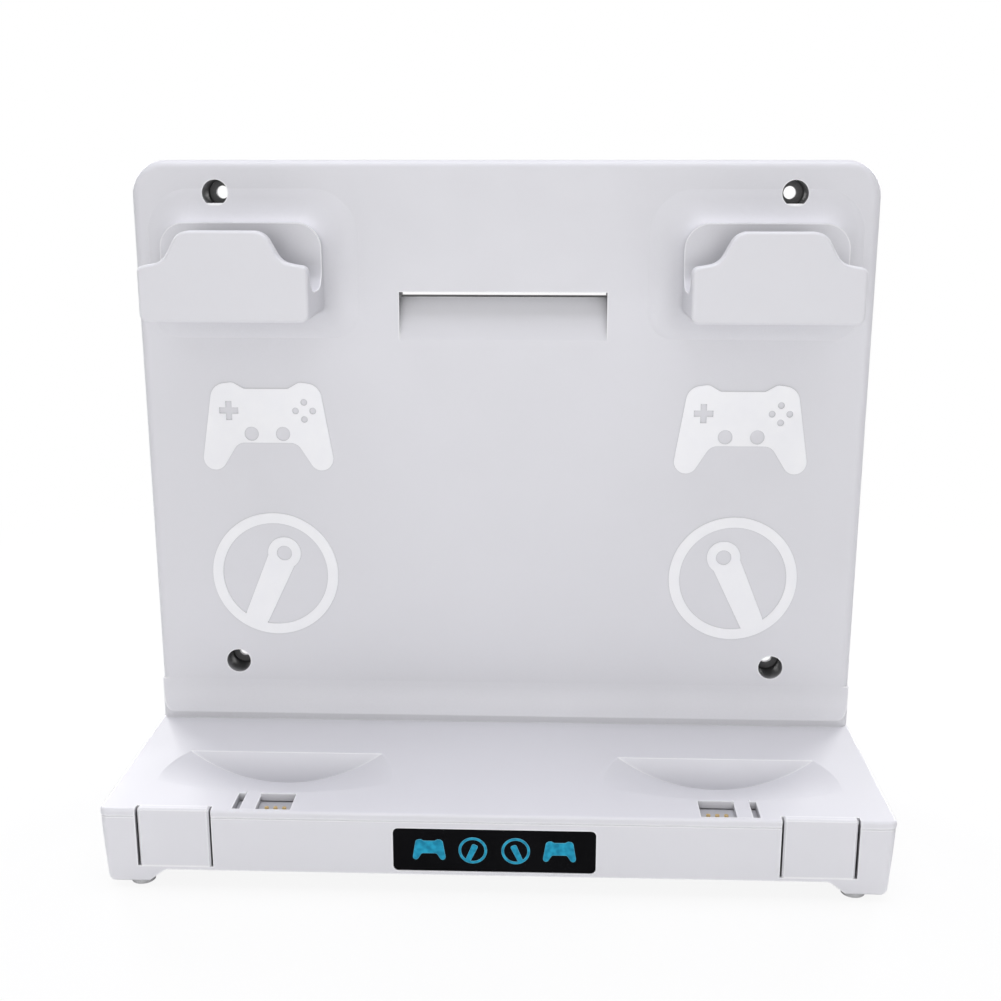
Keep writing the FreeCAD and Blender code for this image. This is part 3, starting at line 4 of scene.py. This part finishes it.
import bpy
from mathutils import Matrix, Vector

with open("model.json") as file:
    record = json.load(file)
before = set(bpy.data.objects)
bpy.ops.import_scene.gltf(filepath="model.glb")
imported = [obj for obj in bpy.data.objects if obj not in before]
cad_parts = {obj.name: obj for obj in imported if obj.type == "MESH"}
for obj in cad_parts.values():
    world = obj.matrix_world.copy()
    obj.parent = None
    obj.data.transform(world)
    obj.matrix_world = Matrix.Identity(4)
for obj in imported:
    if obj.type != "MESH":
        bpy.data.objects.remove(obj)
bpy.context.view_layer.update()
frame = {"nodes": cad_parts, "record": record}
NODES = frame["nodes"]
MM = 0.001

# Camera, fitted to the photograph
CAMERA_PLACE = Vector((19.23, -506.38, 270.63)) * MM
CAMERA_YAW = math.radians(-2.127)
CAMERA_PITCH = math.radians(14.350)
CAMERA_LENS = 47.97
SENSOR = 36.0

# Sockets of a colour Mix node, which shares its names with the float and vector ones
MIX_FIRST = 6
MIX_SECOND = 7
MIX_RESULT = 2

# Moulded surfaces
FLOW_MARKS = 60 * MM
SHEEN_PATCH = 18 * MM
SPARK_GRAIN = 0.35 * MM
SPARK_SPECK = 0.6 * MM
SPARK_DEPTH = 0.006 * MM
FLOW_TINT = 0.985

# Shell
SHELL = (0.760, 0.757, 0.785)
# Painted highlight: pure white colour laid along the shell's open edges
SHELL_EDGE_HIGHLIGHT = (1.0, 1.0, 1.0)
SHELL_ROUGHNESS = (0.44, 0.54)
EDGE_RADIUS = 1.0 * MM
NEAR_REACH = 22 * MM
FAR_REACH = 60 * MM
# Painted shade: share of the shell's colour kept at each openness, from the depth of a hole to an open
# face; the panel also takes a wider-reach painted shade
BASE_SHADE = ((0.0, 0.30), (0.2, 0.65), (0.4, 0.92), (0.6, 1.0))
PANEL_SHADE = ((0.0, 0.04), (0.15, 0.18), (0.35, 0.78), (0.6, 1.0))
PANEL_FAR_SHADE = ((0.3, 0.62), (0.5, 0.78), (0.75, 0.94), (0.92, 1.0))

# Display symbols
SYMBOL_OUTLINE = 0.22 * MM
SYMBOL_DEEP = (0.015, 0.30, 0.50)
SYMBOL_GLOW = (0.030, 0.50, 0.78)
SYMBOL_LINE = (0.30, 0.72, 0.86)

# Studio; a lamp has its name, place, aim, size and power in watts
FLOOR_LEVEL = -0.0002
FLOOR_HALF = 6.0
FLOOR_BOUNCE = 0.80
FLOOR_WHITE = 0.90
FLOOR_NEAR = 0.20
FLOOR_FAR = 0.60
FLOOR_GLOW_NEAR = 0.90
WHITE = 1.0
WORLD_LIGHT = 0.28
GLOSS_LIGHT = 0.5
LAMPS = (
    ("front", (0.0, -1.7, 0.25), (0.0, 0.0, 0.13), (0.7, 0.7), 11.5),
    ("top", (0.0, 0.0, 1.40), (0.0, 0.0, 0.10), (1.4, 1.0), 13.5, (0.93, 0.93, 1.0)),
    ("back_left", (-0.85, 1.15, 0.55), (0.0, 0.0, 0.10), (0.5, 0.5), 11.0),
    ("back_right", (0.85, 1.15, 0.55), (0.0, 0.0, 0.10), (0.5, 0.5), 10.0),
)


# Node helpers

class Painter:
    """Builds the node tree of one material round its Principled shader."""

    def __init__(self, name, **settings):
        self.material = bpy.data.materials.new(name)
        self.material.use_nodes = True
        self.tree = self.material.node_tree
        self.shader = self.tree.nodes["Principled BSDF"]
        self.place = self.add("ShaderNodeTexCoord").outputs["Object"]
        for socket, value in settings.items():
            self.shader.inputs[socket.replace("_", " ")].default_value = value

    def add(self, kind, **properties):
        node = self.tree.nodes.new(kind)
        for name, value in properties.items():
            setattr(node, name, value)
        return node

    def link(self, start, end):
        self.tree.links.new(start, end)

    def noise(self, size, detail=3.0, roughness=0.55, stretch=(1, 1, 1)):
        """Noise whose lumps are about size metres across."""
        mapping = self.add("ShaderNodeMapping")
        mapping.inputs["Scale"].default_value = stretch
        self.link(self.place, mapping.inputs["Vector"])
        node = self.add("ShaderNodeTexNoise")
        node.inputs["Scale"].default_value = 1.0 / size
        node.inputs["Detail"].default_value = detail
        node.inputs["Roughness"].default_value = roughness
        self.link(mapping.outputs["Vector"], node.inputs["Vector"])
        return node.outputs["Fac"]

    def cells(self, size):
        node = self.add("ShaderNodeTexVoronoi")
        node.inputs["Scale"].default_value = 1.0 / size
        self.link(self.place, node.inputs["Vector"])
        return node.outputs["Distance"]

    def span(self, value, low, high, from_low=0.25, from_high=0.75):
        """Value carried from one range to another and held inside it."""
        node = self.add("ShaderNodeMapRange")
        for socket, number in (("From Min", from_low), ("From Max", from_high),
                               ("To Min", low), ("To Max", high)):
            node.inputs[socket].default_value = number
        self.link(value, node.inputs["Value"])
        return node.outputs["Result"]

    def colours(self, value, stops):
        """Colour ramp through (place, colour) stops."""
        ramp = self.add("ShaderNodeValToRGB")
        elements = ramp.color_ramp.elements
        while len(elements) < len(stops):
            elements.new(0.5)
        for element, (place, colour) in zip(elements, stops):
            element.position = place
            element.color = (*colour, 1.0)
        self.link(value, ramp.inputs["Fac"])
        return ramp.outputs["Color"]

    def multiply(self, colour, share):
        """A colour or share scaled by a share from 0 to 1."""
        node = self.add("ShaderNodeVectorMath", operation="SCALE")
        self.link(colour, node.inputs[0])
        self.link(share, node.inputs["Scale"])
        return node.outputs["Vector"]

    def blend(self, share, colour, other):
        """A colour that gives way to another, constant one where the share is 1."""
        node = self.add("ShaderNodeMix", data_type="RGBA")
        self.link(share, node.inputs["Factor"])
        self.link(colour, node.inputs[MIX_FIRST])
        node.inputs[MIX_SECOND].default_value = (*other, 1.0)
        return node.outputs[MIX_RESULT]

    def openness(self, reach):
        """1 on an open face, falling to 0 in the depth of a hole or corner."""
        node = self.add("ShaderNodeAmbientOcclusion", samples=8)
        node.inputs["Distance"].default_value = reach
        return node.outputs["AO"]

    def edges(self, radius):
        """1 along edges and 0 on the faces between them."""
        rounded = self.add("ShaderNodeBevel", samples=4)
        rounded.inputs["Radius"].default_value = radius
        dot = self.add("ShaderNodeVectorMath", operation="DOT_PRODUCT")
        self.link(rounded.outputs["Normal"], dot.inputs[0])
        self.link(self.add("ShaderNodeNewGeometry").outputs["Normal"], dot.inputs[1])
        return self.span(dot.outputs["Value"], 1.0, 0.0, 0.86, 0.985)

    def curve(self, value, stops):
        """Value carried through (place, level) stops."""
        return self.colours(value, [(place, (level, level, level)) for place, level in stops])

    def paint(self, socket, value):
        self.link(value, self.shader.inputs[socket])

    def relief(self, layers):
        """Bump of several (height, depth in metres) layers, one on top of another."""
        normal = None
        for height, depth in layers:
            bump = self.add("ShaderNodeBump")
            bump.inputs["Strength"].default_value = 1.0
            bump.inputs["Distance"].default_value = depth
            self.link(height, bump.inputs["Height"])
            if normal is not None:
                self.link(normal, bump.inputs["Normal"])
            normal = bump.outputs["Normal"]
        self.link(normal, self.shader.inputs["Normal"])


def tint(colour, share):
    return tuple(channel * share for channel in colour)


# Materials

def flow_marks(paint, colour):
    """Colour of a moulding, a little uneven where the plastic flowed."""
    marks = paint.noise(FLOW_MARKS, detail=2.0)
    return paint.colours(marks, [(0.3, tint(colour, FLOW_TINT)), (0.7, colour)])


def spark_texture(paint, low, high):
    """Fine grain of a moulding, with a sheen that changes from patch to patch."""
    paint.paint("Roughness", paint.span(paint.noise(SHEEN_PATCH, detail=4.0), low, high))
    paint.relief([(paint.noise(SPARK_GRAIN, roughness=0.6), SPARK_DEPTH),
                  (paint.noise(SPARK_SPECK, detail=2.0), SPARK_DEPTH / 2)])


def moulded_plastic(name, colour, roughness):
    """Spark-textured moulded plastic with faint flow marks and handling sheen."""
    paint = Painter(name)
    paint.paint("Base Color", flow_marks(paint, colour))
    spark_texture(paint, roughness - 0.04, roughness + 0.05)
    return paint.material


def shell_plastic(name, near_shade, far_shade=None):
    """White shell: fine spark texture, edges painted brighter as a highlight and depths painted dimmer as
    shade.
    """
    paint = Painter(name, IOR=1.5)
    near = paint.openness(NEAR_REACH)
    # Painted shade: the colour is darkened by openness in holes, corners and recesses; where far_shade is
    # given, a second, wider reach adds painted shade across larger hollows
    body = paint.multiply(flow_marks(paint, SHELL), paint.curve(near, near_shade))
    if far_shade:
        body = paint.multiply(body, paint.curve(paint.openness(FAR_REACH), far_shade))
    # Painted highlight: open convex edges blend the colour to pure white
    painted_rim_highlight = paint.multiply(paint.edges(EDGE_RADIUS), paint.span(near, 0.0, 1.0, 0.40, 0.60))
    paint.paint("Base Color", paint.blend(painted_rim_highlight, body, SHELL_EDGE_HIGHLIGHT))
    spark_texture(paint, *SHELL_ROUGHNESS)
    return paint.material


def lens_acrylic():
    paint = Painter("lens_acrylic", IOR=1.49, Specular_IOR_Level=0.04)
    smudge = paint.noise(9 * MM, detail=5.0)
    paint.paint("Base Color", paint.colours(paint.noise(20 * MM), [(0.3, (0.003, 0.003, 0.0035)),
                                                                    (0.8, (0.005, 0.005, 0.006))]))
    paint.paint("Roughness", paint.span(smudge, 0.05, 0.11))
    return paint.material


def lit_symbol():
    """Cyan symbol lit from behind through the window, paler along its outline."""
    paint = Painter("lit_symbol", Roughness=0.45, Emission_Strength=0.55, Specular_IOR_Level=0.1)
    fill = paint.colours(paint.noise(2.5 * MM, detail=1.0), [(0.35, SYMBOL_DEEP), (0.65, SYMBOL_GLOW)])
    mix = paint.blend(paint.edges(SYMBOL_OUTLINE), fill, SYMBOL_LINE)
    paint.paint("Base Color", paint.multiply(mix, paint.span(paint.noise(1 * MM), 0.10, 0.14)))
    paint.paint("Emission Color", mix)
    return paint.material


def panel_symbol():
    """Glossy white print, slightly raised."""
    paint = Painter("panel_symbol", IOR=1.5)
    paint.paint("Base Color", paint.colours(paint.noise(12 * MM), [(0.3, (0.93, 0.93, 0.95)),
                                                                    (0.7, (0.97, 0.97, 0.98))]))
    paint.paint("Roughness", paint.span(paint.noise(5 * MM, detail=4.0), 0.28, 0.36))
    paint.relief([(paint.noise(0.8 * MM), 0.004 * MM)])
    return paint.material


def solder_mask():
    paint = Painter("solder_mask", IOR=1.5)
    tracks = paint.cells(2.2 * MM)
    paint.paint("Base Color", paint.colours(tracks, [(0.05, (0.02, 0.13, 0.06)), (0.12, (0.01, 0.07, 0.03)),
                                                     (0.6, (0.012, 0.085, 0.036))]))
    paint.paint("Roughness", paint.span(paint.noise(4 * MM), 0.3, 0.42))
    paint.relief([(tracks, 0.03 * MM)])
    return paint.material


def metal(name, colour, low, high, stretch=(1, 1, 1)):
    """Plated or machined metal with fine marks that vary its gloss."""
    paint = Painter(name, Metallic=1.0)
    marks = paint.noise(0.5 * MM, detail=4.0, stretch=stretch)
    paint.paint("Base Color", paint.colours(marks, [(0.3, tint(colour, 0.86)), (0.7, colour)]))
    paint.paint("Roughness", paint.span(marks, low, high))
    paint.relief([(marks, 0.006 * MM)])
    return paint.material


def led_lens():
    paint = Painter("led_lens", IOR=1.5, Roughness=0.2)
    paint.paint("Base Color", paint.colours(paint.noise(1.5 * MM), [(0.3, (0.70, 0.62, 0.30)),
                                                                     (0.7, (0.86, 0.82, 0.60))]))
    return paint.material


def foot_rubber():
    paint = Painter("foot_rubber", IOR=1.5)
    dust = paint.noise(3 * MM, detail=5.0)
    paint.paint("Base Color", paint.colours(dust, [(0.3, (0.56, 0.56, 0.57)), (0.7, (0.64, 0.64, 0.65))]))
    paint.paint("Roughness", paint.span(dust, 0.75, 0.9))
    paint.relief([(paint.noise(0.4 * MM), 0.02 * MM)])
    return paint.material


def make_materials():
    return {
        "shell": shell_plastic("shell_plastic", BASE_SHADE),
        "panel": shell_plastic("panel_plastic_painted_shade", PANEL_SHADE, PANEL_FAR_SHADE),
        "lens": lens_acrylic(),
        "lit_symbol": lit_symbol(),
        "panel_symbol": panel_symbol(),
        "circuit_board": solder_mask(),
        "component": moulded_plastic("component_body", (0.030, 0.030, 0.033), 0.55),
        "light": led_lens(),
        "carrier": moulded_plastic("carrier_plastic", (0.50, 0.50, 0.52), 0.45),
        "contact": metal("contact_plating", (0.83, 0.60, 0.26), 0.18, 0.30),
        "steel": metal("screw_steel", (0.58, 0.58, 0.60), 0.22, 0.38),
        "wire": moulded_plastic("wire_jacket", (0.020, 0.020, 0.022), 0.5),
        "rubber": foot_rubber(),
    }


def dress_nodes(materials):
    """Give every CAD node the material of its slot in the record; the panel has its own material with a
    stronger painted shade.
    """
    slots = {part["node"]: part["material_slot"] for part in frame["record"]["subparts"]}
    for name, node in NODES.items():
        material = materials["panel" if name == "panel_front_shell" else slots[name]]
        if not node.material_slots:
            node.data.materials.append(material)
        for slot in node.material_slots:
            slot.material = material


# Studio

def add_camera():
    data = bpy.data.cameras.new("photo_camera")
    data.lens = CAMERA_LENS
    data.sensor_width = SENSOR
    data.clip_start = 0.01
    camera = bpy.data.objects.new("photo_camera", data)
    bpy.context.scene.collection.objects.link(camera)
    view = Vector((math.sin(CAMERA_YAW) * math.cos(CAMERA_PITCH),
                   math.cos(CAMERA_YAW) * math.cos(CAMERA_PITCH),
                   -math.sin(CAMERA_PITCH)))
    camera.location = CAMERA_PLACE
    camera.rotation_euler = view.to_track_quat("-Z", "Y").to_euler()
    bpy.context.scene.camera = camera


def add_lamp(name, place, aim, size, power, colour=(1, 1, 1)):
    data = bpy.data.lights.new(name, "AREA")
    data.shape = "RECTANGLE"
    data.size, data.size_y = size
    data.energy = power
    data.color = colour
    lamp = bpy.data.objects.new(name, data)
    lamp.location = place
    lamp.rotation_euler = (Vector(aim) - Vector(place)).to_track_quat("-Z", "Y").to_euler()
    bpy.context.scene.collection.objects.link(lamp)


def add_world():
    """White where the camera sees it, bright in reflections and dim as a light."""
    world = bpy.data.worlds.new("studio")
    world.use_nodes = True
    tree = world.node_tree
    path = tree.nodes.new("ShaderNodeLightPath")
    strength = None
    for ray, level in (("Is Glossy Ray", GLOSS_LIGHT), ("Is Transmission Ray", WHITE),
                       ("Is Camera Ray", WHITE)):
        step = tree.nodes.new("ShaderNodeMix")
        step.data_type = "FLOAT"
        tree.links.new(path.outputs[ray], step.inputs["Factor"])
        if strength is None:
            step.inputs["A"].default_value = WORLD_LIGHT
        else:
            tree.links.new(strength, step.inputs["A"])
        step.inputs["B"].default_value = level
        strength = step.outputs["Result"]
    sky = tree.nodes["Background"]
    sky.inputs["Color"].default_value = (1, 1, 1, 1)
    tree.links.new(strength, sky.inputs["Strength"])
    bpy.context.scene.world = world


def floor_material():
    """Floor that the camera sees as white, with a faint shadow that fades outwards."""
    material = bpy.data.materials.new("floor_white")
    material.use_nodes = True
    tree = material.node_tree
    matt = tree.nodes["Principled BSDF"]
    matt.inputs["Base Color"].default_value = (FLOOR_BOUNCE, FLOOR_BOUNCE, FLOOR_BOUNCE, 1)
    matt.inputs["Roughness"].default_value = 0.9
    white = tree.nodes.new("ShaderNodeBsdfDiffuse")
    white.inputs["Color"].default_value = (FLOOR_WHITE, FLOOR_WHITE, FLOOR_WHITE, 1)
    glow = tree.nodes.new("ShaderNodeEmission")
    glow.inputs["Color"].default_value = (1, 1, 1, 1)
    place = tree.nodes.new("ShaderNodeNewGeometry")
    distance = tree.nodes.new("ShaderNodeVectorMath")
    distance.operation = "LENGTH"
    tree.links.new(place.outputs["Position"], distance.inputs[0])
    share = tree.nodes.new("ShaderNodeMapRange")
    for socket, number in (("From Min", FLOOR_NEAR), ("From Max", FLOOR_FAR),
                           ("To Min", FLOOR_GLOW_NEAR), ("To Max", WHITE)):
        share.inputs[socket].default_value = number
    tree.links.new(distance.outputs["Value"], share.inputs["Value"])
    seen = tree.nodes.new("ShaderNodeMixShader")
    tree.links.new(share.outputs["Result"], seen.inputs["Fac"])
    tree.links.new(white.outputs["BSDF"], seen.inputs[1])
    tree.links.new(glow.outputs["Emission"], seen.inputs[2])
    path = tree.nodes.new("ShaderNodeLightPath")
    mix = tree.nodes.new("ShaderNodeMixShader")
    tree.links.new(path.outputs["Is Camera Ray"], mix.inputs["Fac"])
    tree.links.new(matt.outputs["BSDF"], mix.inputs[1])
    tree.links.new(seen.outputs["Shader"], mix.inputs[2])
    tree.links.new(mix.outputs["Shader"], tree.nodes["Material Output"].inputs["Surface"])
    return material


def add_floor():
    mesh = bpy.data.meshes.new("floor")
    half = FLOOR_HALF
    corners = [(-half, -half, FLOOR_LEVEL), (half, -half, FLOOR_LEVEL),
               (half, half, FLOOR_LEVEL), (-half, half, FLOOR_LEVEL)]
    mesh.from_pydata(corners, [], [(0, 1, 2, 3)])
    mesh.materials.append(floor_material())
    floor = bpy.data.objects.new("floor", mesh)
    bpy.context.scene.collection.objects.link(floor)


def add_studio():
    bpy.context.scene.view_settings.view_transform = "Standard"
    add_world()
    add_floor()
    add_camera()
    for lamp in LAMPS:
        add_lamp(*lamp)


dress_nodes(make_materials())
add_studio()
